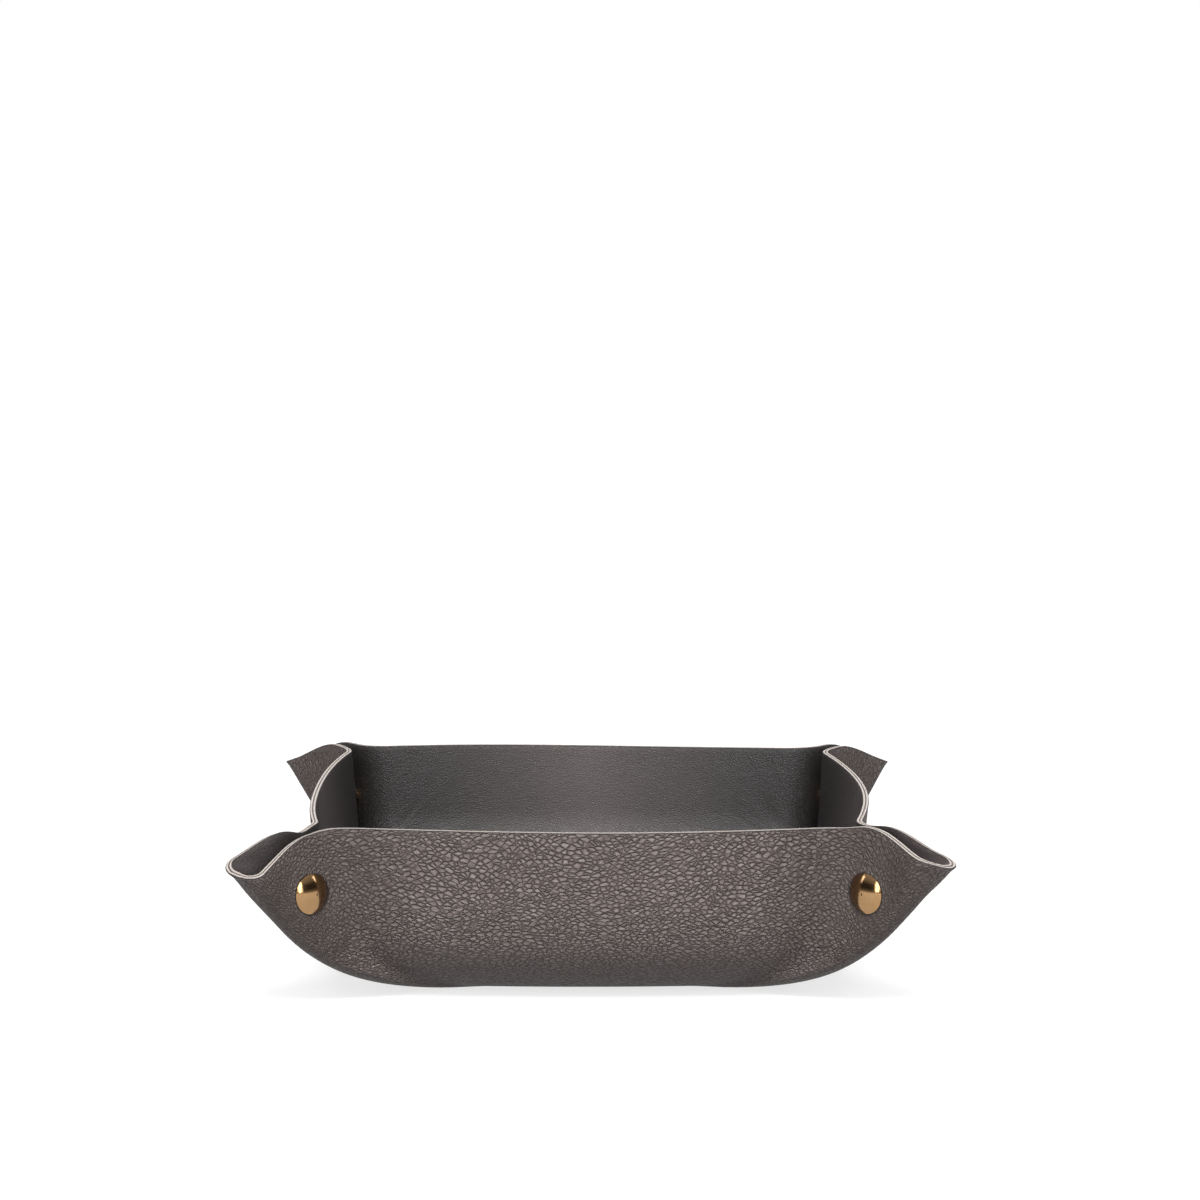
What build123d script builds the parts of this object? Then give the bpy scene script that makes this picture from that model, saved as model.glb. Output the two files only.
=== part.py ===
from build123d import *
import math
import os

# Valet tray: one square sheet of two bonded leathers. A press stud pinches each corner into a
# teardrop ear that stands out along the diagonal, so the sides rise and the floor stays flat.
# Millimetres, Z up, origin on the ground under the middle of the floor.

# Sheet
sheet_side = 260.0           # the flat square, edge to edge
sheet_corner_radius = 38.0   # its cut corners
outer_thickness = 1.0        # pebbled outer leather
inner_thickness = 1.0        # smooth inner leather

# Side, seen square on: flat floor, base curve, then a straight wall that leans out
floor_half = 54.5
base_radius = 35.0
wall_angle = 85.0            # degrees from the ground
side_bow_radius = 440.0      # how much a side bows outwards in plan

# Keel, the fold along each diagonal: flat floor, base curve, then a straight rise to the tip
keel_start = 70.0            # from the middle of the tray
keel_radius = 88.0
keel_angle = 45.0            # degrees from the ground

# Press stud, on the diagonal
snap_reach = 124.3           # from the middle of the tray to its axis
snap_height = 36.3
neck_gap = 4.6               # between the two inner faces that it holds

# Plan curves of the corner, on the outer face
neck_radius = 16.0           # where a side turns into the neck
flare_radius = 20.0          # where the neck opens into the ear
ear_width = 14.4
foot_radius = 18.0           # the corner of the floor
foot_turn = 9.0             # degrees, how far a side turns out at the floor

# Domed cap with its post
cap_diameter = 12.5
cap_height = 2.7
cap_edge = 0.5               # height of its rolled edge
cap_roll = 0.2               # how far that edge turns in
post_diameter = 3.4
post_bore = 2.2
post_spread = 4.4            # across the end of the post, spread over the socket or stud
post_spread_thickness = 0.35
seat_press = 0.15            # how far the brass presses into the leather

# Socket
socket_diameter = 10.2
socket_base = 0.5
socket_wall = 0.5
socket_edge = 0.3            # bevel round its mouth
socket_mouth = 6.5
socket_lip = 0.6

# Spring ring in the socket
spring_wire = 0.6
spring_inner = 5.5
spring_turn = 310.0          # degrees, the rest of the ring is open

# Stud
stud_flange_diameter = 9.6
stud_flange = 0.5
stud_head_diameter = 5.9
stud_neck_diameter = 5.1
stud_nose_diameter = 4.7
stud_head_length = 1.2       # the full part of the head, along the axis
stud_bevel = 0.5             # both cones of the head, along the axis
stud_sheet = 0.45            # at the nose

# Clearances
running_clearance = 0.08     # round a post that pulls away with its stud
lift_clearance = 0.06        # between the leather and the brass that pulls away
seat_clearance = 0.1         # round a cap, flange or socket pressed into the leather
spring_clearance = 0.1       # round the spring ring in its groove
spread_clearance = 0.05      # round the spread end of a post inside the stud
mouth_clearance = 0.3        # socket mouth to stud flange

# Points across each eighth of a leather, up it and along it
rows = 12
columns = 40
column_crowding = 1.4        # above 1, the columns crowd towards the keel

leather = outer_thickness + inner_thickness
cap_seat = neck_gap / 2 + leather - seat_press
flange_seat = neck_gap / 2 + seat_press
neck_half = neck_gap / 2 + leather
ear_radius = ear_width / 2
flare_start = snap_reach + cap_diameter / 2 - ear_radius / 8
wall_turn = math.radians(wall_angle)
keel_turn = math.radians(keel_angle)
base_length = base_radius * wall_turn
side_length = sheet_side / 2 - floor_half
keel_straight = (
    sheet_side / math.sqrt(2)
    - sheet_corner_radius * (math.sqrt(2) - 1)
    - keel_start
    - keel_radius * keel_turn
)


def side_profile(length, inset):
    """Across, up and slope of a side's middle, at a length from the floor's edge."""
    turn = min(length / base_radius, wall_turn)
    straight = max(length - base_length, 0)
    across = floor_half + (base_radius - inset) * math.sin(turn) + straight * math.cos(turn)
    up = base_radius - (base_radius - inset) * math.cos(turn) + straight * math.sin(turn)
    return across, up, turn


def keel_reach(up, inset):
    """Distance of the keel from the middle of the tray at a height."""
    radius = keel_radius - inset
    if up < keel_radius - radius * math.cos(keel_turn):
        return keel_start + math.sqrt(max(radius**2 - (keel_radius - up) ** 2, 0))
    rise = up - (keel_radius - radius * math.cos(keel_turn))
    return keel_start + radius * math.sin(keel_turn) + rise / math.tan(keel_turn)


def keel_height(reach):
    """Height of the keel's outer face at a distance from the middle of the tray."""
    run = reach - keel_start
    if run < keel_radius * math.sin(keel_turn):
        return keel_radius - math.sqrt(keel_radius**2 - run**2)
    end = keel_radius * (1 - math.cos(keel_turn))
    return end + (run - keel_radius * math.sin(keel_turn)) * math.tan(keel_turn)


tip_reach = keel_start + keel_radius * math.sin(keel_turn) + keel_straight * math.cos(keel_turn)
tip_height = keel_height(tip_reach)
side_top = side_profile(side_length, 0)[1]
neck_foot = keel_height(snap_reach - cap_diameter / 2 + neck_half)


def rim_height(reach, inset):
    """The rim is level along the sides and falls from the neck to the tip. It is cut square to
    the leather, which leans out more and more there, so the inner face ends higher."""
    share = (reach - snap_reach) / (tip_reach - ear_radius / 4 - snap_reach)
    fall = math.sin(math.pi / 2 * min(max(share, 0), 1)) ** 2
    return side_top - (side_top - tip_height - inset * math.cos(keel_turn)) * fall


def diagonal(along, out):
    """Plan point at a distance along the diagonal and a distance square to it."""
    return (along + out) / math.sqrt(2), (along - out) / math.sqrt(2)


def plan_curve(length, inset):
    """Arcs (centre, radius, first and last angle) from a side's middle to the keel."""
    across, up, slope = side_profile(length, inset)
    reach = keel_reach(up, inset)
    inset = inset * math.sin(slope)
    foot_share = (1 - min(side_profile(length, 0)[1] / neck_foot, 1)) ** 2
    half = neck_half - inset
    turn = math.radians(45 - (45 - foot_turn) * foot_share)
    bend = neck_radius + inset
    ear_share = keel_reach(up, 0) - neck_half - flare_start
    ear_share = ear_share / (tip_reach - neck_half - flare_start)
    ear_share = min(max(ear_share, 0), 1) ** 2
    end = neck_half + (ear_radius - neck_half) * ear_share
    end = end + (foot_radius - neck_half) * foot_share - inset
    eye_x, eye_y = diagonal(reach - end, 0)
    normal = (math.cos(turn), -math.sin(turn))
    forward = (math.sin(turn), math.cos(turn))
    flared = reach - end > flare_start
    line = half if flared else eye_x * normal[0] + eye_y * normal[1] + end
    bow = side_bow_radius - inset
    bow_x = across - bow
    foot_x = (line + bend) * normal[0] - bow_x
    foot_y = (line + bend) * normal[1]
    along = foot_x * forward[0] + foot_y * forward[1]
    step = math.sqrt(along**2 - foot_x**2 - foot_y**2 + (bow + bend) ** 2) - along
    neck_x = foot_x + bow_x + step * forward[0]
    neck_y = foot_y + step * forward[1]
    swing = math.atan2(neck_y, neck_x - bow_x)
    arcs = [
        (bow_x, 0, bow, 0, swing),
        (neck_x, neck_y, bend, math.pi + swing, math.pi - turn),
    ]
    if flared:
        flare = flare_radius + inset
        flare_x, flare_y = diagonal(flare_start, half + flare)
        apart = math.hypot(eye_x - flare_x, eye_y - flare_y)
        lean = math.atan2(flare_y - eye_y, flare_x - eye_x)
        turn = -math.acos(min((end + flare) / apart, 1)) - lean
        arcs.append((flare_x, flare_y, flare, math.pi * 3 / 4, math.pi - turn))
    arcs.append((eye_x, eye_y, end, -turn, math.pi / 4))
    return arcs, up


def plan_point(length, inset, share):
    """Point at a share of the way along the plan curve, from a side's middle to the keel."""
    arcs, up = plan_curve(length, inset)
    ends = []
    for x, y, radius, first, last in arcs:
        for angle in (first, last):
            ends.append((x + radius * math.cos(angle), y + radius * math.sin(angle)))
    runs = []
    for i, (x, y, radius, first, last) in enumerate(arcs):
        runs.append(abs(last - first) * radius)
        if i < len(arcs) - 1:
            runs.append(math.dist(ends[2 * i + 1], ends[2 * i + 2]))
    left = share * sum(runs)
    for i, run in enumerate(runs):
        if left <= run or i == len(runs) - 1:
            part = min(left / run, 1)
            if i % 2:
                (x1, y1), (x2, y2) = ends[i], ends[i + 1]
                return x1 + (x2 - x1) * part, y1 + (y2 - y1) * part, up
            x, y, radius, first, last = arcs[i // 2]
            angle = first + (last - first) * part
            return x + radius * math.cos(angle), y + radius * math.sin(angle), up
        left -= run


def top_length(inset, share):
    """Length up the side at which a column of points meets the rim."""
    low, high = 0, side_length + leather
    for _ in range(40):
        middle = (low + high) / 2
        x, y, up = plan_point(middle, inset, share)
        if up < rim_height((x + y) / math.sqrt(2), inset):
            low = middle
        else:
            high = middle
    return low


def wall_points(inset):
    """Grid of points on one face of the leather, over the eighth from a side to a keel."""
    grid = []
    for j in range(columns + 1):
        share = 1 - (1 - j / columns) ** column_crowding
        top = top_length(inset, share)
        grid.append([plan_point(top * i / rows, inset, share) for i in range(rows + 1)])
    return grid


def eighth_faces(low, high):
    """The outside faces of a leather between two insets, over one eighth of the tray.

    Its walls are narrow strips ruled between curved ribs, and its floor is flat.
    """
    faces = []
    rims = []
    for inset in (low, high):
        points = wall_points(inset)
        ribs = [Edge.make_spline([Vector(*point) for point in column]) for column in points]
        foot = [Vector(*column[0]) for column in points]
        rim = [Vector(*column[-1]) for column in points]
        faces += [Face.make_surface_from_curves(*pair) for pair in zip(ribs, ribs[1:])]
        faces.append(Face(Wire.make_polygon([*foot, Vector(0, 0, foot[0].Z)])))
        rims.append([Edge.make_line(*pair) for pair in zip(rim, rim[1:])])
    faces += [Face.make_surface_from_curves(*pair) for pair in zip(*rims)]
    return faces


def leather_skin(low, high):
    """One leather, from eight mirrored eighths sewn into one closed skin."""
    faces = eighth_faces(low, high)
    for normal in ((1, -1, 0), (1, 0, 0), (0, 1, 0)):
        faces += [face.mirror(Plane((0, 0, 0), z_dir=normal)) for face in faces]
    return Solid(Shell(faces))


def turned(outline):
    """A solid turned about the axis of a snap from an outline of (radius, along) points."""
    return revolve(Plane.XZ * make_face(outline), Axis.Z)


def disc(radius, low, high):
    """A plain cylinder between two places along the axis of a snap."""
    return Pos(0, 0, low) * Cylinder(radius, high - low, align=(Align.CENTER, Align.CENTER, Align.MIN))


def cap_and_post():
    """Domed cap outside a wall, with its hollow post through the wall and spread inside."""
    edge = cap_diameter / 2
    shoulder = cap_seat + cap_edge
    top = cap_seat + cap_height
    rise = cap_height - cap_edge
    crown = (edge**2 + rise**2) / (2 * rise)
    half = math.asin(edge / crown) / 2
    bulge = (crown * math.sin(half), top - crown * (1 - math.cos(half)))
    held = flange_seat - socket_base
    dome = ThreePointArc((0, top), bulge, (edge, shoulder))
    rest = Polyline(
        (edge, shoulder),
        (edge, cap_seat + cap_roll),
        (edge - cap_roll, cap_seat),
        (post_diameter / 2, cap_seat),
        (post_diameter / 2, held),
        (post_spread / 2, held),
        (post_spread / 2, held - post_spread_thickness),
        (post_bore / 2, held - post_spread_thickness),
        (post_bore / 2, shoulder),
        (0, shoulder),
        (0, top),
    )
    return turned(dome + rest)


socket_face = flange_seat - stud_flange - mouth_clearance
groove_top = socket_face - socket_lip
groove_foot = groove_top - spring_wire - spring_clearance
groove_radius = spring_inner / 2 + spring_wire + spring_clearance
spring_place = (groove_top + groove_foot) / 2


def socket():
    """Cup with a lipped mouth and a groove under the lip for the spring ring.

    It stands on the far wall of the neck, with its mouth towards the stud.
    """
    outer = socket_diameter / 2
    mouth = socket_mouth / 2
    inner = outer - socket_wall
    base = socket_base - flange_seat
    outline = Polyline(
        (post_diameter / 2, -flange_seat),
        (outer, -flange_seat),
        (outer, socket_face - socket_edge),
        (outer - socket_edge, socket_face),
        (mouth, socket_face),
        (mouth, groove_top),
        (groove_radius, groove_top),
        (groove_radius, groove_foot),
        (mouth, groove_foot),
        (mouth, groove_foot - socket_lip),
        (inner, groove_foot - socket_lip),
        (inner, base),
        (post_diameter / 2, base),
        close=True,
    )
    return turned(outline)


def spring_ring():
    """Open ring of round wire that grips the neck of the stud."""
    wire = Pos(spring_inner / 2 + spring_wire / 2, spring_place) * Circle(spring_wire / 2)
    return revolve(Plane.XZ * wire, Axis.Z, revolution_arc=spring_turn)


def stud():
    """Flanged stud with a hollow head, spread open inside by the end of its post."""
    flange = stud_flange_diameter / 2
    neck = stud_neck_diameter / 2
    head = stud_head_diameter / 2
    hollow = post_spread / 2 + spread_clearance
    face = flange_seat - stud_flange
    full = spring_place - stud_bevel
    nose = full - stud_head_length - stud_bevel
    outline = Polyline(
        (post_diameter / 2, flange_seat),
        (flange, flange_seat),
        (flange, face),
        (neck, face),
        (neck, spring_place),
        (head, full),
        (head, full - stud_head_length),
        (stud_nose_diameter / 2, nose),
        (0, nose),
        (0, nose + stud_sheet),
        (hollow, nose + stud_sheet),
        (hollow, face),
        (post_diameter / 2, face),
        close=True,
    )
    return turned(outline)


def seats(flange_diameter, lift, running):
    """What the brass on one wall of a neck takes out of the leather."""
    cap = disc(cap_diameter / 2 + seat_clearance, cap_seat - lift, cap_seat + cap_height)
    flange = disc(flange_diameter / 2 + seat_clearance, 0, flange_seat + lift)
    return [cap, flange, disc(post_diameter / 2 + running, 0, cap_seat + cap_height)]


corners = {
    "front_left": (-1, -1),
    "front_right": (1, -1),
    "back_left": (-1, 1),
    "back_right": (1, 1),
}
nodes = {}
taken = []
for corner, (x, y) in corners.items():
    place = Vector(x, y, 0) * (snap_reach / math.sqrt(2)) + Vector(0, 0, snap_height)
    neck = Plane(place, x_dir=(0, 0, 1), z_dir=(-x, y, 0))
    far = Plane(place, x_dir=(0, 0, 1), z_dir=(x, -y, 0))
    nodes[f"{corner}_socket"] = neck * socket()
    nodes[f"{corner}_spring"] = neck * spring_ring()
    nodes[f"{corner}_socket_cap"] = far * cap_and_post()
    nodes[f"{corner}_stud"] = neck * stud()
    nodes[f"{corner}_stud_cap"] = neck * cap_and_post()
    taken += [neck * tool for tool in seats(stud_flange_diameter, lift_clearance, running_clearance)]
    taken += [far * tool for tool in seats(socket_diameter, 0, 0)]

nodes["outer_leather"] = leather_skin(0, outer_thickness) - taken
nodes["inner_leather"] = leather_skin(outer_thickness, leather) - taken

os.makedirs("parts", exist_ok=True)
for name, solid in nodes.items():
    export_step(solid, f"parts/{name}.step")
    print(name, round(solid.volume, 2), solid.is_valid)
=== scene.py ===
import math

import bmesh
import bpy
import numpy as np
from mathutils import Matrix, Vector


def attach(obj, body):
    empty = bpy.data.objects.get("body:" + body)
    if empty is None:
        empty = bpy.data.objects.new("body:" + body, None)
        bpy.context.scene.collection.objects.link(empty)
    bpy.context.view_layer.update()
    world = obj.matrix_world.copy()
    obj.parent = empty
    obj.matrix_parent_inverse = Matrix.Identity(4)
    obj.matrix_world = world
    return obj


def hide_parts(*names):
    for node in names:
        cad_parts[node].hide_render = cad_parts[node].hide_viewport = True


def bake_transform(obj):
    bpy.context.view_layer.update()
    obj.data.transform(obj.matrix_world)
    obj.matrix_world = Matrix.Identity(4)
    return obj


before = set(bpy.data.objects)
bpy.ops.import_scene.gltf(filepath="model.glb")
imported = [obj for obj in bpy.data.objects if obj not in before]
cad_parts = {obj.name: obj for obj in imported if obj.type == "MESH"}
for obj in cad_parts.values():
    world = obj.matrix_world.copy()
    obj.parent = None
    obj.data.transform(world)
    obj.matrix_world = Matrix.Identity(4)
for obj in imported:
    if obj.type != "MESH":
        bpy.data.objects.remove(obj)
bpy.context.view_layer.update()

# Camera, floor and light -----------------------------------------------------------------
# The camera stands in front of the tray and a little above it, where the photograph's
# lower picture was taken from. The tray stands on white paper, among six softboxes.


def colour(code):
    """Linear colour from an sRGB hex code."""
    parts = [int(code[i : i + 2], 16) / 255 for i in (1, 3, 5)]
    return [p / 12.92 if p <= 0.04045 else ((p + 0.055) / 1.055) ** 2.4 for p in parts] + [1]


def empty_tree(owner):
    """The node tree of a new material or world, with nothing in it."""
    owner.use_nodes = True
    owner.node_tree.nodes.clear()
    return owner.node_tree


def add_node(tree, kind, links=(), **settings):
    """Adds a node. Links and settings name its inputs by place or name."""
    made = tree.nodes.new(kind)
    for name, value in settings.items():
        if name in made.bl_rna.properties:
            setattr(made, name, value)
        else:
            made.inputs[name.replace("_", " ")].default_value = value
    for place, source in dict(links).items():
        if isinstance(source, bpy.types.NodeSocket):
            tree.links.new(source, made.inputs[place])
        else:
            made.inputs[place].default_value = source
    return made


def add_math(tree, operation, *inputs, **settings):
    """A sum's result, from two or three inputs."""
    links = dict(enumerate(inputs))
    return add_node(tree, "ShaderNodeMath", links, operation=operation, **settings).outputs[0]


def add_vector_math(tree, operation, *inputs):
    """A vector sum's node, from one to three inputs."""
    return add_node(tree, "ShaderNodeVectorMath", dict(enumerate(inputs)), operation=operation)


def add_mix(tree, share, first, second):
    """A colour between two, each a socket or an sRGB hex code."""
    first, second = (colour(c) if isinstance(c, str) else c for c in (first, second))
    links = {0: share, 6: first, 7: second}
    return add_node(tree, "ShaderNodeMix", links, data_type="RGBA").outputs[2]


def set_stops(ramp, stops):
    """Sets the stops of a new colour ramp, which has its two end stops already."""
    for element, (position, tone) in zip(ramp.elements, (stops[0], stops[-1])):
        element.position, element.color = position, tone
    for position, tone in stops[1:-1]:
        ramp.elements.new(position).color = tone


camera_away = 1.0971
camera_rise = math.radians(11.98)
camera_tip = math.radians(90 - 5.88)
camera_turn = math.radians(-0.2)
bpy.ops.object.camera_add(
    location=(0, -camera_away * math.cos(camera_rise), camera_away * math.sin(camera_rise)),
    rotation=(camera_tip, 0, camera_turn),
)
camera = bpy.context.object
camera.name = "camera"
camera.data.lens = 97.8
camera.data.clip_end = 20
bpy.context.scene.camera = camera

# The floor lies a hair below the tray, so that the two faces don't fight.
bpy.ops.mesh.primitive_plane_add(size=8, location=(0, 0, -0.0002))
floor = bpy.context.object
floor.name = "studio_floor"

# White seamless paper. For the camera and in reflections it glows just enough to be white, and
# more so far from the lamps.
paper = bpy.data.materials.new("white_seamless_paper")
tree = empty_tree(paper)
path = add_node(tree, "ShaderNodeLightPath")
seen = add_math(tree, "ADD", path.outputs["Is Camera Ray"], path.outputs["Is Glossy Ray"])
seen = add_math(tree, "ADD", seen, path.outputs["Is Transmission Ray"], use_clamp=True)
own = add_node(tree, "ShaderNodeTexCoord")
far = add_vector_math(tree, "LENGTH", own.outputs["Object"]).outputs["Value"]
white = add_node(tree, "ShaderNodeMapRange", {0: far, 1: 0.3, 2: 1.5, 3: 0.74, 4: 1.0})
glow = add_math(tree, "MULTIPLY", seen, white.outputs[0])
matt = add_node(tree, "ShaderNodeBsdfDiffuse", {0: add_mix(tree, seen, "#606060", "#8c8c8c")})
glowing = add_node(tree, "ShaderNodeEmission", {"Strength": glow})
both = add_node(tree, "ShaderNodeAddShader", {0: matt.outputs[0], 1: glowing.outputs[0]})
add_node(tree, "ShaderNodeOutputMaterial", {0: both.outputs[0]})
floor.data.materials.append(paper)

# The room round the tray is white for the camera. For its light and in reflections it is grey
# at the horizon, dark above that, and light overhead.
world = bpy.data.worlds.new("studio")
bpy.context.scene.world = world
tree = empty_tree(world)
path = add_node(tree, "ShaderNodeLightPath")
aim = add_node(tree, "ShaderNodeTexCoord")
split = add_node(tree, "ShaderNodeSeparateXYZ", {0: aim.outputs["Generated"]})
lift = add_node(tree, "ShaderNodeValToRGB", {0: split.outputs["Z"]})
greys = ((0.0, 0.4), (0.08, 0.16), (0.2, 0.04), (0.42, 0.05), (0.56, 0.3), (0.8, 0.6))
set_stops(lift.color_ramp, [(place, (grey, grey, grey, 1)) for place, grey in greys])
level = add_node(
    tree,
    "ShaderNodeMix",
    {0: path.outputs["Is Camera Ray"], 2: lift.outputs[0], 3: 1.0},
    data_type="FLOAT",
)
back = add_node(
    tree, "ShaderNodeBackground", {"Strength": level.outputs[0]}, Color=colour("#ffffff")
)
add_node(tree, "ShaderNodeOutputWorld", {0: back.outputs[0]})

# Softboxes: place, width and height in metres, and power in watts. All aim at the tray.
for name, spot, width, height, power in (
    ("top_softbox", (0.0, -0.95, 1.2), 0.6, 0.4, 23.5),
    ("front_left_strip", (-0.5, -1.5, 0.65), 0.36, 1.1, 9),
    ("front_right_strip", (0.5, -1.5, 0.65), 0.36, 1.1, 9.5),
    ("left_strip", (-1.3, 0.1, 0.6), 0.25, 0.9, 3),
    ("right_strip", (1.3, 0.1, 0.6), 0.25, 0.9, 3),
    ("back_softbox", (0.0, 1.3, 1.1), 0.9, 0.9, 22),
):
    bpy.ops.object.light_add(type="AREA", location=spot)
    lamp = bpy.context.object
    lamp.name = name
    lamp.data.shape = "RECTANGLE"
    lamp.data.size = width
    lamp.data.size_y = height
    lamp.data.energy = power
    aim = Vector((0, 0, 0.02)) - Vector(spot)
    lamp.rotation_euler = aim.to_track_quat("-Z", "Y").to_euler()

bpy.context.scene.view_settings.view_transform = "Standard"

# Outer leather ---------------------------------------------------------------------------
# One square sheet of cowhide with a coarse pebbled grain, bonded back to back with the inner
# one and cut with them in one stroke, so the rim shows both pale cores and the glue between.

# The folded form, in millimetres: the flat sheet, the walls in profile and in plan, the keel
# under each loop, the pinch with its press stud, and the loop beyond it.
mm = 0.001
sheet_side = 260.0
sheet_corner_radius = 38.0
leather = 2.0
floor_half = 54.5
base_radius = 35.0
wall_turn = math.radians(85.0)
side_bow_radius = 440.0
keel_start = 70.0
keel_radius = 88.0
keel_turn = math.radians(45.0)
snap_reach = 124.3
snap_height = 36.3
neck_gap = 4.6
neck_radius = 16.0
flare_radius = 20.0
ear_radius = 7.2
foot_radius = 18.0
foot_turn = 9.0
cap_radius = 6.25

neck_half = neck_gap / 2 + leather
flare_start = snap_reach + cap_radius - ear_radius / 8
side_length = sheet_side / 2 - floor_half
keel_straight = (
    sheet_side / math.sqrt(2)
    - sheet_corner_radius * (math.sqrt(2) - 1)
    - keel_start
    - keel_radius * keel_turn
)
tip_reach = keel_start + keel_radius * math.sin(keel_turn) + keel_straight * math.cos(keel_turn)


def side_profile(length, inset):
    """Across, up and slope of a side's middle, at a length from the floor's edge."""
    turn = min(length / base_radius, wall_turn)
    straight = max(length - base_radius * wall_turn, 0)
    across = floor_half + (base_radius - inset) * math.sin(turn) + straight * math.cos(turn)
    up = base_radius - (base_radius - inset) * math.cos(turn) + straight * math.sin(turn)
    return across, up, turn


def keel_reach(up, inset):
    """Distance of the keel from the middle of the tray at a height."""
    radius = keel_radius - inset
    if up < keel_radius - radius * math.cos(keel_turn):
        return keel_start + math.sqrt(max(radius**2 - (keel_radius - up) ** 2, 0))
    rise = up - (keel_radius - radius * math.cos(keel_turn))
    return keel_start + radius * math.sin(keel_turn) + rise / math.tan(keel_turn)


def keel_height(reach):
    """Height of the keel's outer face at a distance from the middle of the tray."""
    run = reach - keel_start
    if run < keel_radius * math.sin(keel_turn):
        return keel_radius - math.sqrt(keel_radius**2 - run**2)
    end = keel_radius * (1 - math.cos(keel_turn))
    return end + (run - keel_radius * math.sin(keel_turn)) * math.tan(keel_turn)


tip_height = keel_height(tip_reach)
side_top = side_profile(side_length, 0)[1]
neck_foot = keel_height(snap_reach - cap_radius + neck_half)
loop_lean = 0.28
tip_lean = 0.42
tip_run = 3.5


def rim_height(reach, inset):
    """The rim is level along the sides and falls from the neck to the tip. It is cut square to
    the leather, which leans out a little round the loop and most at the tip."""
    share = (reach - snap_reach) / (tip_reach - ear_radius / 4 - snap_reach)
    fall = math.sin(math.pi / 2 * min(max(share, 0), 1)) ** 2
    tip_share = min(max((reach - tip_reach + tip_run) / tip_run, 0), 1)
    lean = loop_lean * fall + tip_lean * tip_share
    return side_top - (side_top - tip_height) * fall + inset * lean


def diagonal(along, out):
    """Plan point at a distance along the diagonal and a distance square to it."""
    return (along + out) / math.sqrt(2), (along - out) / math.sqrt(2)


def plan_curve(length, inset):
    """Arcs (centre, radius, first and last angle) from a side's middle to the keel: the bowed
    side, the bend into the neck, the flare behind the press stud, and the loop's eye."""
    across, up, slope = side_profile(length, inset)
    reach = keel_reach(up, inset)
    inset = inset * math.sin(slope)
    foot_share = (1 - min(side_profile(length, 0)[1] / neck_foot, 1)) ** 2
    half = neck_half - inset
    turn = math.radians(45 - (45 - foot_turn) * foot_share)
    bend = neck_radius + inset
    ear_share = keel_reach(up, 0) - neck_half - flare_start
    ear_share = ear_share / (tip_reach - neck_half - flare_start)
    ear_share = min(max(ear_share, 0), 1) ** 2
    end = neck_half + (ear_radius - neck_half) * ear_share
    end = end + (foot_radius - neck_half) * foot_share - inset
    eye_x, eye_y = diagonal(reach - end, 0)
    normal = (math.cos(turn), -math.sin(turn))
    forward = (math.sin(turn), math.cos(turn))
    flared = reach - end > flare_start
    line = half if flared else eye_x * normal[0] + eye_y * normal[1] + end
    bow = side_bow_radius - inset
    bow_x = across - bow
    foot_x = (line + bend) * normal[0] - bow_x
    foot_y = (line + bend) * normal[1]
    along = foot_x * forward[0] + foot_y * forward[1]
    step = math.sqrt(along**2 - foot_x**2 - foot_y**2 + (bow + bend) ** 2) - along
    neck_x = foot_x + bow_x + step * forward[0]
    neck_y = foot_y + step * forward[1]
    swing = math.atan2(neck_y, neck_x - bow_x)
    arcs = [
        (bow_x, 0, bow, 0, swing),
        (neck_x, neck_y, bend, math.pi + swing, math.pi - turn),
    ]
    if flared:
        flare = flare_radius + inset
        flare_x, flare_y = diagonal(flare_start, half + flare)
        apart = math.hypot(eye_x - flare_x, eye_y - flare_y)
        lean = math.atan2(flare_y - eye_y, flare_x - eye_x)
        turn = -math.acos(min((end + flare) / apart, 1)) - lean
        arcs.append((flare_x, flare_y, flare, math.pi * 3 / 4, math.pi - turn))
    arcs.append((eye_x, eye_y, end, -turn, math.pi / 4))
    return arcs, up


def plan_point(length, inset, share):
    """Point at a share of the way along the plan curve, from a side's middle to the keel."""
    arcs, up = plan_curve(length, inset)
    ends = []
    for x, y, radius, first, last in arcs:
        for angle in (first, last):
            ends.append((x + radius * math.cos(angle), y + radius * math.sin(angle)))
    runs = []
    for i, (x, y, radius, first, last) in enumerate(arcs):
        runs.append(abs(last - first) * radius)
        if i < len(arcs) - 1:
            runs.append(math.dist(ends[2 * i + 1], ends[2 * i + 2]))
    left = share * sum(runs)
    for i, run in enumerate(runs):
        if left <= run or i == len(runs) - 1:
            part = min(left / run, 1)
            if i % 2:
                (x1, y1), (x2, y2) = ends[i], ends[i + 1]
                return x1 + (x2 - x1) * part, y1 + (y2 - y1) * part, up
            x, y, radius, first, last = arcs[i // 2]
            angle = first + (last - first) * part
            return x + radius * math.cos(angle), y + radius * math.sin(angle), up
        left -= run


def top_length(inset, share):
    """Length up the side at which a column of points meets the rim."""
    low, high = 0, side_length + 2 * leather
    for _ in range(30):
        middle = (low + high) / 2
        x, y, up = plan_point(middle, inset, share)
        if up < rim_height((x + y) / math.sqrt(2), inset):
            low = middle
        else:
            high = middle
    return low


# The mesh of an eighth: columns from a side's middle to the keel, closer together towards the
# keel, and rows up the wall. The floor's rings lie at shares of the way out to the wall.
columns = 84
column_crowding = 1.3
rows = 44
floor_shares = (0, 0.2, 0.4, 0.58, 0.72, 0.83, 0.91, 0.96)


def flat_point(share):
    """Point of the flat sheet's outline, in its first eighth, at a share of the way round."""
    straight = sheet_side / 2 - sheet_corner_radius
    arc = sheet_corner_radius * math.pi / 4
    left = share * (straight + arc)
    if left < straight:
        return sheet_side / 2, left
    turn = (left - straight) / sheet_corner_radius
    return (
        straight + sheet_corner_radius * math.cos(turn),
        straight + sheet_corner_radius * math.sin(turn),
    )


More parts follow.
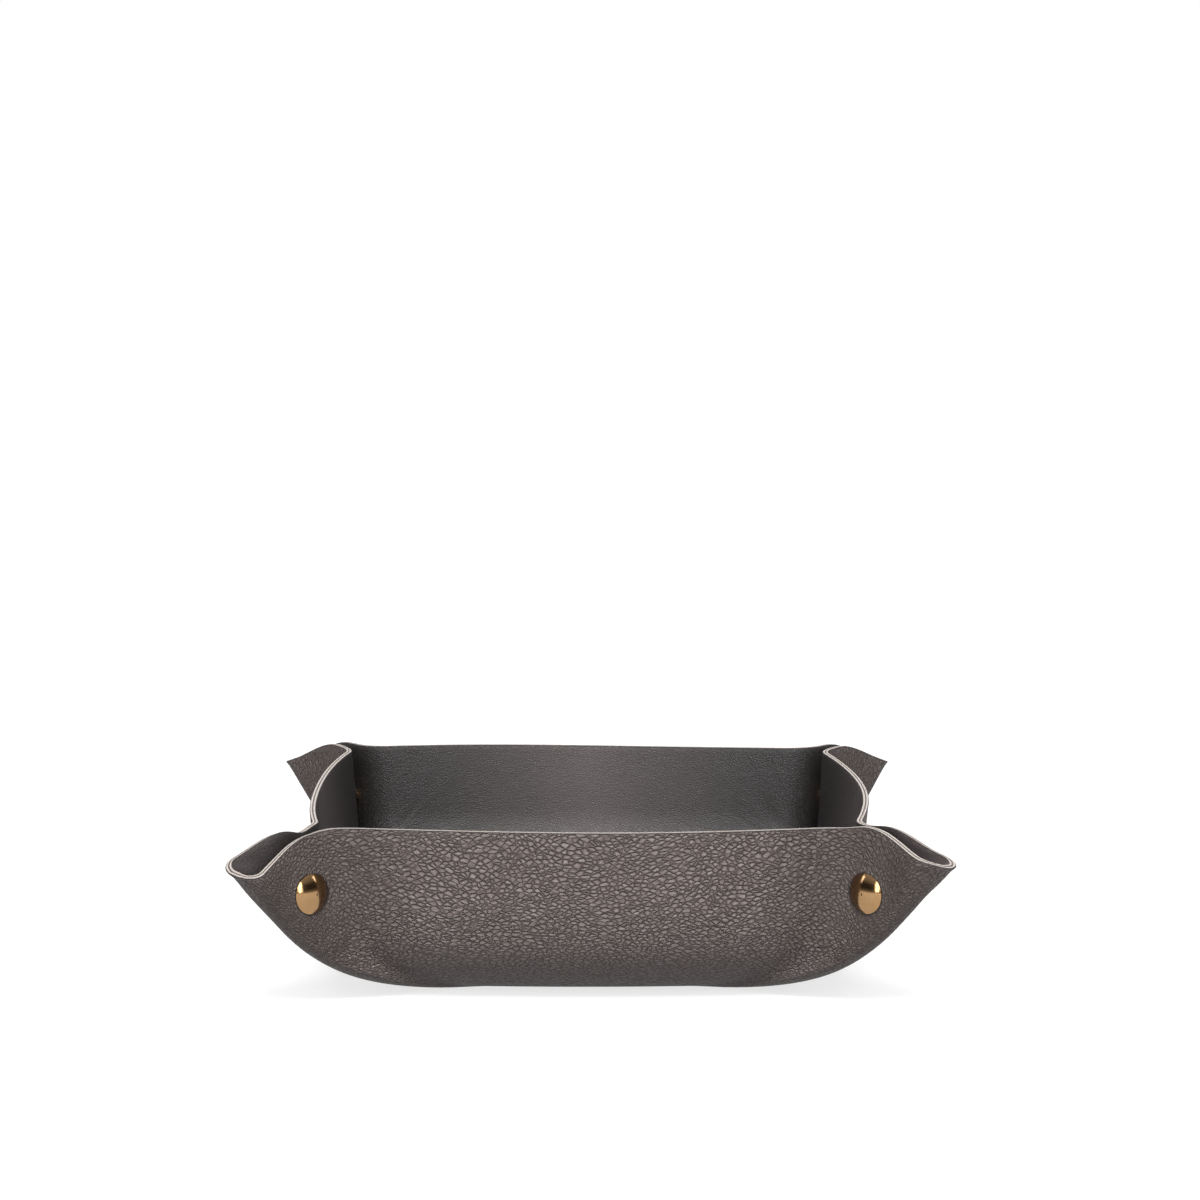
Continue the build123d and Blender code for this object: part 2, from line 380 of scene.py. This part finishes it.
def face_grid(inset):
    """One face of the leather over an eighth: places and flat-sheet places, by column."""
    grid = []
    for k in range(columns + 1):
        share = 1 - (1 - k / columns) ** column_crowding
        top = top_length(inset, share)
        foot = plan_point(0, inset, share)
        edge = flat_point(share)
        column = []
        for ring in floor_shares:
            x, y = foot[0] * ring, foot[1] * ring
            column.append(((x, y, foot[2]), (x, y)))
        for i in range(rows + 1):
            part = i / rows
            place = plan_point(top * part, inset, share)
            flat = (foot[0] + (edge[0] - foot[0]) * part, foot[1] + (edge[1] - foot[1]) * part)
            column.append((place, flat))
        grid.append(column)
    return grid


def all_round(grid):
    """The eight mirrored eighths of a grid, as one closed run of columns."""
    run = []
    for eighth in range(8):
        for k in range(columns):
            source = grid[columns - k] if eighth % 2 else grid[k]
            column = []
            for (x, y, z), (u, v) in source:
                if eighth % 2:
                    x, y, u, v = y, x, v, u
                for _ in range(eighth // 2):
                    x, y, u, v = -y, x, -v, u
                column.append(((x, y, z), (u, v)))
            run.append(column)
    return run


def ease(limits, value):
    """Smooth step from 0 to 1 between two limits."""
    low, high = limits
    t = np.clip((value - low) / (high - low), 0, 1)
    return t * t * (3 - 2 * t)


def snap_distance(points):
    """Distance of each point from the middle of the nearest cap."""
    x, y, z = points.T
    reach = (np.abs(x) + np.abs(y)) / math.sqrt(2)
    off = np.abs(np.abs(x) - np.abs(y)) / math.sqrt(2) - neck_half
    return np.sqrt((reach - snap_reach) ** 2 + (z - snap_height) ** 2 + off**2)


# How the loop at each corner strays from the pattern, in millimetres: how far its rim is lifted
# at seven places, from the front or back wall round the tip to the side wall, and how far the
# tip is drawn in. No two corners open alike.
loops = {
    (-1, -1): (-0.5, -1.6, -1.6, -1.0, 1.2, 1.2, -2.0, 1.2),
    (1, -1): (0.8, 0.7, 2.6, -0.3, 1.6, 1.2, 0.0, -1.5),
    (-1, 1): (0.3, 0.6, 1.2, 0.6, 1.2, 0.6, 0.3, 0.5),
    (1, 1): (0.0, 0.3, 1.2, 0.3, 1.2, 0.3, 0.0, 1.5),
}
loop_step = 10.0
lift_spread = 9.0
wave_size = 0.5

# Between which limits the leather comes free to stray, in millimetres: in height, in distance
# from a cap, in reach from the middle of the tray, and off the keel.
wave_heights = (4, 26)
wave_rise_heights = (30, 56)
wave_from_cap = (7, 22)
lift_heights = (30, 46)
lift_from_cap = (7, 15)
lift_reach = (112, 124)
lift_off_keel = (0, 6)
tip_lift_reach = (146, 152)
draw_reach = (140, 153)


def slack(points):
    """How far a hand-made tray strays from its pattern: slow waves in the walls and rim, none
    where the leather lies on the ground or is clamped by a press stud, and the loops' own."""
    x, y, z = points.T
    reach = (np.abs(x) + np.abs(y)) / math.sqrt(2)
    off = (np.abs(x) - np.abs(y)) / math.sqrt(2)
    from_cap = snap_distance(points)
    free = ease(wave_heights, z) * ease(wave_from_cap, from_cap)
    wave_x = np.sin(y / 26 + z / 45 + 0.6)
    wave_y = np.sin(x / 31 - z / 40 + 2.1)
    wave_z = 0.7 * np.sin((x + y) / 37 + 1.0) + 0.5 * np.sin((x - y) / 29 + 0.4)
    waves = np.stack([wave_x, wave_y, wave_z * ease(wave_rise_heights, z)], 1)
    move = waves * wave_size * free[:, None]
    keel = np.array([keel_height(min(max(r, keel_start), tip_reach)) for r in reach])
    off_keel = np.abs(off) + np.maximum(z - keel, 0)
    high = ease(lift_heights, z)
    wall = np.maximum(ease(lift_off_keel, off_keel), ease(tip_lift_reach, reach))
    wall = wall * ease(lift_reach, reach) * ease(lift_from_cap, from_cap) * high
    # the way along the rim from the tip, with the loop's width counted a fifth more
    from_tip = np.hypot(tip_reach - reach, 1.2 * off) * np.tanh(off / 1.5)
    for (x_sign, y_sign), (*lifts, drawn_in) in loops.items():
        here = (x * x_sign > 0) & (y * y_sign > 0)
        for step, lift in enumerate(lifts, -3):
            bump = np.exp(-(((from_tip - step * loop_step) / lift_spread) ** 2))
            move[:, 2] += np.where(here, lift * bump * wall, 0)
        inward = ease(draw_reach, reach) * high * drawn_in / math.sqrt(2)
        move[:, 0] -= np.where(here, inward * x_sign, 0)
        move[:, 1] -= np.where(here, inward * y_sign, 0)
    return points + move


outside = all_round(face_grid(0))
inside = all_round(face_grid(leather))

# Across the cut: the corners of each skin are rubbed round, and the glue line lies a bit deep.
# Each entry is the share of the way from the outer face to the inner one, and the drop.
cut_outer = (
    (0.0, 0.35),
    (0.03, 0.14),
    (0.1, 0.03),
    (0.25, 0.0),
    (0.4, 0.02),
    (0.47, 0.08),
    (0.5, 0.16),
)
cut_inner = tuple((1 - share, drop) for share, drop in cut_outer)
off_cut = -50


def skin(face, other, cuts, flip):
    """Points, flat places, marks and faces of one skin with its half of the cut rim. A mark is
    the place across the cut, far below 0 elsewhere, and the distance from the nearest cap."""
    points, flats, cutting, faces = [], [], [], []
    first = cuts[0][0]
    for column, mate in zip(face, other):
        (x1, y1, z1), (u, v) = column[-1]
        x2, y2, z2 = mate[-1][0]
        for place, flat in column[1:-1]:
            points.append(place)
            flats.append(flat)
            cutting.append(off_cut)
        for share, drop in cuts:
            part = abs(share - first) if flip else share
            z = z1 + (z2 - z1) * part - drop
            points.append((x1 + (x2 - x1) * part, y1 + (y2 - y1) * part, z))
            flats.append((u, v))
            cutting.append(share)
    width = len(points) // len(face)
    for k in range(len(face)):
        a, b = k * width, (k + 1) % len(face) * width
        for i in range(width - 1):
            faces.append((a + i, b + i, b + i + 1, a + i + 1))
    middle = len(points)
    points.append((0, 0, face[0][0][0][2]))
    flats.append((0, 0))
    cutting.append(off_cut)
    for k in range(len(face)):
        faces.append((middle, (k + 1) % len(face) * width, k * width))
    faces = [tuple(reversed(f)) for f in faces] if not flip else faces
    points = np.array(points, float)
    marks = list(zip(cutting, snap_distance(points) * mm))
    return slack(points) * mm, flats, marks, faces


# When a corner is unsnapped its leather bends. In metres: the bend goes up the wall from the
# low to the high limit, and across the pinch from half a gap on one side to half on the other.
corners = {
    "front_left": (-1, -1),
    "front_right": (1, -1),
    "back_left": (-1, 1),
    "back_right": (1, 1),
}
bend_low, bend_high, bend_half = 0.062, 0.112, 0.0019


def pull(corner):
    """The way in which a corner's stud half pulls off."""
    x, y = corners[corner]
    return Vector((-x, y, 0)) / math.sqrt(2)


def bend_shares(corner, place):
    """How far a place moves with the stud half, up the wall and across the pinch."""
    x = corners[corner][0]
    rise = (place.x * x + place.z - bend_low) / (bend_high - bend_low)
    across = (place.dot(pull(corner)) + bend_half) / (2 * bend_half)
    return rise, across


def faces_beyond(build, corner, rise_limit, across_limit):
    """The faces of a corner that bend more than the limits, with their shares."""
    x, y = corners[corner]
    found = []
    for face in build.faces:
        centre = face.calc_center_median()
        rise, across = bend_shares(corner, centre)
        if rise > rise_limit and across > across_limit and centre.x * x > 0 and centre.y * y > 0:
            found.append((face, rise, across))
    return found


def cut_at_bends(build):
    """Cuts a skin at the planes where a bend starts, and where its two shares are equal."""
    for corner, (x, y) in corners.items():
        up_wall = Vector((x, 0, 1))
        off = pull(corner)
        even = up_wall / (bend_high - bend_low) - off / (2 * bend_half)
        rise, across = bend_shares(corner, Vector((0, 0, 0)))
        for place, way in (
            (Vector((x * bend_low, 0, 0)), up_wall),
            (-off * bend_half, off),
            (even * ((across - rise) / even.length_squared), even),
        ):
            near = [face for face, _, _ in faces_beyond(build, corner, -0.1, -1)]
            edges = dict.fromkeys(e for f in near for e in f.edges)
            verts = dict.fromkeys(v for f in near for v in f.verts)
            geom = list(verts) + list(edges) + near
            bmesh.ops.bisect_plane(build, geom=geom, dist=1e-6, plane_co=place, plane_no=way)


def leather_pieces(name, parts, materials):
    """Cuts a skin where its bends start, and makes one piece of it for each bend."""
    points, flats, marks, faces = parts
    mesh = bpy.data.meshes.new(name)
    mesh.from_pydata([tuple(p) for p in points], [], faces)
    flat_map = mesh.uv_layers.new(name="flat")
    cut_map = mesh.uv_layers.new(name="cut")
    for loop in mesh.loops:
        u, v = flats[loop.vertex_index]
        flat_map.data[loop.index].uv = (u * mm, v * mm)
        cut_map.data[loop.index].uv = marks[loop.vertex_index]
    build = bmesh.new()
    build.from_mesh(mesh)
    bpy.data.meshes.remove(mesh)
    cut_at_bends(build)
    build.normal_update()
    build.verts.ensure_lookup_table()
    normals = [v.normal.copy() for v in build.verts]
    flat_layer = build.loops.layers.uv["flat"]
    cut_layer = build.loops.layers.uv["cut"]
    homes = {}
    for corner in corners:
        for face, rise, across in faces_beyond(build, corner, 0, 0):
            homes[face] = (corner, "wall" if rise < across else "pinch")
    groups = {}
    for face in build.faces:
        groups.setdefault(homes.get(face, "main"), []).append(face)
    made = []
    for home, group in groups.items():
        order = {}
        for face in group:
            for vert in face.verts:
                order.setdefault(vert.index, len(order))
        piece_name = name if home == "main" else f"{name}_{home[0]}_{home[1]}"
        mesh = bpy.data.meshes.new(piece_name)
        mesh.from_pydata(
            [build.verts[i].co for i in order],
            [],
            [[order[v.index] for v in face.verts] for face in group],
        )
        flat_map = mesh.uv_layers.new(name="flat")
        cut_map = mesh.uv_layers.new(name="cut")
        for polygon, face in zip(mesh.polygons, group):
            polygon.use_smooth = True
            on_cut = 0
            for loop_index, loop in zip(polygon.loop_indices, face.loops):
                flat_map.data[loop_index].uv = loop[flat_layer].uv
                cut_map.data[loop_index].uv = loop[cut_layer].uv
                on_cut += loop[cut_layer].uv[0] > -0.5
            polygon.material_index = 1 if on_cut == len(face.loops) else 0
        mesh.normals_split_custom_set_from_vertices([normals[i] for i in order])
        for material in materials:
            mesh.materials.append(material)
        obj = bpy.data.objects.new(piece_name, mesh)
        bpy.context.scene.collection.objects.link(obj)
        if home == "main":
            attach(obj, "tray")
            made.insert(0, obj)
            continue
        corner, part = home
        x = corners[corner][0]
        if part == "wall":
            start = Vector((x * bend_low, 0, 0))
            end = start + Vector((x, 0, 1)) * (bend_high - bend_low) / 2
        else:
            start, end = -pull(corner) * bend_half, pull(corner) * bend_half
        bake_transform(obj)
        made.append(obj)
    build.free()
    return made


def in_millimetres(tree, place):
    """A place given in metres, in millimetres."""
    scaled = add_node(tree, "ShaderNodeVectorMath", {0: place, "Scale": 1000.0}, operation="SCALE")
    return scaled.outputs[0]


def flat_place(tree):
    """The place on the flat sheet, in millimetres."""
    return in_millimetres(tree, add_node(tree, "ShaderNodeUVMap", uv_map="flat").outputs[0])


def cap_distance(tree):
    """Distance from the nearest cap, in millimetres."""
    marks = add_node(tree, "ShaderNodeUVMap", uv_map="cut")
    split = add_node(tree, "ShaderNodeSeparateXYZ", {0: marks.outputs[0]})
    return add_math(tree, "MULTIPLY", split.outputs[1], 1000.0)


def fade(tree, value, low, high, start=0.0, end=1.0):
    """Smooth change of a value between two places."""
    links = {0: value, 1: low, 2: high, 3: start, 4: end}
    eased = add_node(tree, "ShaderNodeMapRange", links, interpolation_type="SMOOTHSTEP")
    return eased.outputs[0]


def noise(tree, place, scale, detail, **settings):
    """Cloudy noise, in waves to the millimetre, from 0 to 1."""
    return add_node(
        tree, "ShaderNodeTexNoise", {0: place}, Scale=scale, Detail=detail, **settings
    )


def cells(tree, place, feature, scale, **settings):
    """A pattern of cells, in cells to the millimetre."""
    return add_node(
        tree, "ShaderNodeTexVoronoi", {0: place}, feature=feature, Scale=scale, **settings
    )


def fan(tree, place):
    """Creases that fan out of the four pinches over the floor and walls, 0 to 1."""
    pinch = 84.0
    size = add_vector_math(tree, "ABSOLUTE", place)
    split = add_node(tree, "ShaderNodeSeparateXYZ", {0: size.outputs[0]})
    dx = add_math(tree, "SUBTRACT", pinch, split.outputs[0])
    dy = add_math(tree, "SUBTRACT", pinch, split.outputs[1])
    turn = add_math(tree, "ARCTAN2", dx, dy)
    run = add_node(tree, "ShaderNodeCombineXYZ", {0: dx, 1: dy})
    far = add_vector_math(tree, "LENGTH", run.outputs[0]).outputs["Value"]
    # another number for each corner, so that no two fans are alike
    sign = add_vector_math(tree, "SIGN", place)
    seed = add_vector_math(tree, "DOT_PRODUCT", sign.outputs[0], (1.3, 2.9, 0)).outputs["Value"]
    turned = add_math(tree, "MULTIPLY", turn, 4.2)
    slow = add_math(tree, "MULTIPLY", far, 0.016)
    at = add_node(tree, "ShaderNodeCombineXYZ", {0: turned, 1: slow, 2: seed})
    crease = noise(tree, at.outputs[0], 1.7, 3.0, Roughness=0.55)
    ridge = fade(tree, crease.outputs[0], 0.36, 0.64)
    return add_math(tree, "MULTIPLY", ridge, fade(tree, far, 8.0, 70.0, 1.0, 0.0))


# Pebbled cowhide: puffed grains of 2 to 3 mm in wavy rows, with narrow creases between them
# and fine wrinkles on them. Heights are in millimetres. The grain is pulled flat round the
# press studs and where it bends under the tray, and a ring is pressed in under each cap, edged
# with a dark ring of painted shade.
pebbled = bpy.data.materials.new("pebbled_cowhide")
tree = empty_tree(pebbled)
place = flat_place(tree)
sway = noise(tree, place, 0.05, 0.0).outputs["Color"]
swayed = add_vector_math(tree, "MULTIPLY_ADD", sway, (5, 5, 0), place).outputs[0]
warp = noise(tree, place, 0.3, 1.0).outputs["Color"]
warped = add_vector_math(tree, "MULTIPLY_ADD", warp, (0.6, 0.6, 0), swayed).outputs[0]

# the grains, wider along one diagonal of the hide than across it
hide_turn = (0, 0, 0.79)
drawn = add_node(
    tree,
    "ShaderNodeMapping",
    {0: warped, "Rotation": hide_turn, "Scale": (0.52, 0.8, 1)},
).outputs[0]
grain = cells(tree, drawn, "DISTANCE_TO_EDGE", 1.0, Randomness=0.72).outputs[0]
cell = cells(tree, drawn, "F1", 1.0, Randomness=0.72).outputs["Position"]
rise = add_node(tree, "ShaderNodeMapRange", {0: grain, 1: 0.0, 2: 0.42, 3: 1.0, 4: 0.0})
shoulder = add_math(tree, "POWER", rise.outputs[0], 2.2)

# each grain leans outwards, as a scale does
local = add_vector_math(tree, "SUBTRACT", drawn, cell).outputs[0]
way = add_vector_math(tree, "NORMALIZE", place).outputs[0]
outward = add_node(tree, "ShaderNodeMapping", {0: way, "Rotation": hide_turn}).outputs[0]
tilt = add_vector_math(tree, "DOT_PRODUCT", local, outward).outputs["Value"]

small = cells(tree, warped, "DISTANCE_TO_EDGE", 0.95).outputs[0]
pores = noise(tree, place, 2.6, 4.0, Roughness=0.6).outputs[0]
hills = noise(tree, place, 0.11, 2.0).outputs[0]
from_cap = cap_distance(tree)
puff = add_math(tree, "MULTIPLY", shoulder, fade(tree, from_cap, 8, 34, -0.22, -0.42))
wrinkled = add_math(tree, "MULTIPLY_ADD", fade(tree, small, 0, 0.3), 0.03, puff)
scaly = add_math(tree, "MULTIPLY_ADD", tilt, 0.2, wrinkled)
hilly = add_math(tree, "MULTIPLY_ADD", hills, 0.5, scaly)
pored = add_math(tree, "MULTIPLY_ADD", pores, 0.04, hilly)
creased = add_math(tree, "MULTIPLY_ADD", fan(tree, place), 0.06, pored)
full = add_math(tree, "ADD", fade(tree, from_cap, 6.1, 7.3, -0.25, 0.0), creased)
own = add_node(tree, "ShaderNodeTexCoord")
height = add_node(tree, "ShaderNodeSeparateXYZ", {0: own.outputs["Object"]}).outputs[2]
pressed = add_math(tree, "MULTIPLY", full, fade(tree, height, 0.002, 0.018, 0.5, 1.0))
relief = add_node(tree, "ShaderNodeBump", {"Height": pressed}, Strength=1.0, Distance=0.0017)

# painted shade in the creases, slow patches, darker and browner leather round the caps, painted
# shade towards the foot, and a ring of painted shade round each cap's edge
crease_depth = fade(tree, grain, 0.0, 0.14)
patches = noise(tree, place, 0.035, 3.0).outputs[0]
# painted shade: the creases get the darker colour
tint = add_mix(tree, crease_depth, "#483e3c", "#685d5b")
toned = add_mix(tree, fade(tree, patches, 0.3, 0.7, 0.0, 0.5), tint, "#625754")
ear = add_mix(tree, fade(tree, from_cap, 12, 38, 0.9, 0.0), toned, "#3f3531")
# painted shade: the leather darkens towards the foot, near the ground
foot_painted_shade = add_mix(tree, fade(tree, height, 0.001, 0.019, 0.75, 0.0), ear, "#3f3836")
# painted shade: a thin dark ring round the edge of each cap
cap_ring_painted_shade = add_mix(tree, fade(tree, from_cap, 6.35, 7.0), "#171312", foot_painted_shade)
shine = fade(tree, crease_depth, 0.0, 1.0, 0.7, 0.54)
shader = add_node(
    tree,
    "ShaderNodeBsdfPrincipled",
    {"Base Color": cap_ring_painted_shade, "Roughness": shine, "Normal": relief.outputs[0]},
)
add_node(tree, "ShaderNodeOutputMaterial", {0: shader.outputs[0]})

# The cut through a skin: a thin dyed grain side, pale fibres, and dark glue in the middle.
cut_edge = bpy.data.materials.new("cut_leather_edge")
tree = empty_tree(cut_edge)
marks = add_node(tree, "ShaderNodeUVMap", uv_map="cut")
across = add_node(tree, "ShaderNodeSeparateXYZ", {0: marks.outputs[0]}).outputs[0]
fibres = noise(tree, flat_place(tree), 2.4, 5.0, Roughness=0.7).outputs[0]
stray = add_math(tree, "MULTIPLY_ADD", fibres, 0.16, across)
lines = add_node(tree, "ShaderNodeValToRGB", {0: stray})
stops = (
    (0.16, "#2b2625"),
    (0.24, "#a69d97"),
    (0.44, "#9b928c"),
    (0.5, "#463f3c"),
    (0.66, "#463f3c"),
    (0.72, "#9b928c"),
    (0.92, "#a69d97"),
    (1.0, "#2b2625"),
)
set_stops(lines.color_ramp, [(place, colour(code)) for place, code in stops])
fuzz = add_node(tree, "ShaderNodeBump", {"Height": fibres}, Strength=0.6, Distance=0.0002)
shader = add_node(
    tree,
    "ShaderNodeBsdfPrincipled",
    {"Base Color": lines.outputs[0], "Normal": fuzz.outputs[0]},
    Roughness=0.85,
)
add_node(tree, "ShaderNodeOutputMaterial", {0: shader.outputs[0]})

outer_parts = skin(outside, inside, cut_outer, False)
outer = leather_pieces("outer_leather_skin", outer_parts, [pebbled, cut_edge])
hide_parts("outer_leather")

# Inner leather ---------------------------------------------------------------------------
# The lining: smooth, close-grained calf, dyed through to charcoal and lightly waxed, glued
# flesh side to flesh side with the outer sheet.

# Smooth calf: fine pores and shallow creases. Painted shade darkens it near the press studs,
# in the pinches and the loops, and painted light brightens it again towards the loops' rims.
smooth = bpy.data.materials.new("smooth_calf_lining")
tree = empty_tree(smooth)
place = flat_place(tree)
close = noise(tree, place, 1.6, 5.0, Roughness=0.7).outputs[0]
pore = cells(tree, place, "DISTANCE_TO_EDGE", 1.3).outputs[0]
fine = add_math(tree, "MULTIPLY", close, 0.1)
surface = add_math(tree, "MULTIPLY_ADD", fade(tree, pore, 0.0, 0.3), 0.07, fine)
full = add_math(tree, "MULTIPLY_ADD", fan(tree, place), 0.12, surface)
relief = add_node(tree, "ShaderNodeBump", {"Height": full}, Strength=1.0, Distance=0.001)
patches = noise(tree, place, 0.03, 4.0).outputs[0]
tint = add_mix(tree, close, "#3b3535", "#584f4f")
toned = add_mix(tree, fade(tree, patches, 0.35, 0.7, 0.0, 0.45), tint, "#564d4d")
spread = add_vector_math(tree, "ABSOLUTE", place).outputs[0]
corner_way = add_vector_math(tree, "DOT_PRODUCT", spread, (0.707, 0.707, 0)).outputs["Value"]
# painted shade near the press studs, and painted light towards the loops' rims
painted_light_share = add_math(
    tree,
    "MAXIMUM",
    fade(tree, cap_distance(tree), 12, 110),
    fade(tree, corner_way, 148, 168, 0.0, 0.8),
)
painted_shade_lining = add_mix(tree, painted_light_share, "#1c1918", toned)
shine = fade(tree, close, 0.3, 0.7, 0.38, 0.52)
shader = add_node(
    tree,
    "ShaderNodeBsdfPrincipled",
    {"Base Color": painted_shade_lining, "Roughness": shine, "Normal": relief.outputs[0]},
)
add_node(tree, "ShaderNodeOutputMaterial", {0: shader.outputs[0]})

inner_parts = skin(inside, outside, cut_inner, True)
inner = leather_pieces("inner_leather_skin", inner_parts, [smooth, cut_edge])
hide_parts("inner_leather")

# Press studs -----------------------------------------------------------------------------
# Line-24 press studs of brass, plated pale gold and polished. Each cap's post goes through
# the leather and is spread over the socket or stud on its other side.

# Pale gold plate: nearly mirror bright, with slow haze in its colour and fine rubs.
gold = bpy.data.materials.new("pale_gold_plated_brass")
tree = empty_tree(gold)
place = in_millimetres(tree, add_node(tree, "ShaderNodeTexCoord").outputs["Object"])
haze = noise(tree, place, 0.5, 3.0).outputs[0]
rubs = noise(tree, place, 6.0, 3.0, Roughness=0.7).outputs[0]
rough = add_node(tree, "ShaderNodeMapRange", {0: rubs, 1: 0.3, 2: 0.7, 3: 0.1, 4: 0.18})
dents = add_node(tree, "ShaderNodeBump", {"Height": rubs}, Strength=0.12, Distance=0.00003)
shader = add_node(
    tree,
    "ShaderNodeBsdfPrincipled",
    {
        "Base Color": add_mix(tree, haze, "#9b7a55", "#ac8a64"),
        "Roughness": rough.outputs[0],
        "Normal": dents.outputs[0],
    },
    Metallic=1.0,
)
add_node(tree, "ShaderNodeOutputMaterial", {0: shader.outputs[0]})

# Spring steel: bare drawn wire, a little uneven in tone and polish.
steel = bpy.data.materials.new("drawn_spring_steel")
tree = empty_tree(steel)
place = in_millimetres(tree, add_node(tree, "ShaderNodeTexCoord").outputs["Object"])
drawn = noise(tree, place, 4.0, 3.0).outputs[0]
rough = add_node(tree, "ShaderNodeMapRange", {0: drawn, "To Min": 0.2, "To Max": 0.42})
shader = add_node(
    tree,
    "ShaderNodeBsdfPrincipled",
    {"Base Color": add_mix(tree, drawn, "#a9a49c", "#c9c5bd"), "Roughness": rough.outputs[0]},
    Metallic=1.0,
)
add_node(tree, "ShaderNodeOutputMaterial", {0: shader.outputs[0]})

for corner in corners:
    for part in ("socket", "spring", "socket_cap", "stud", "stud_cap"):
        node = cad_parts[f"{corner}_{part}"]
        node.data.materials.clear()
        node.data.materials.append(steel if part == "spring" else gold)
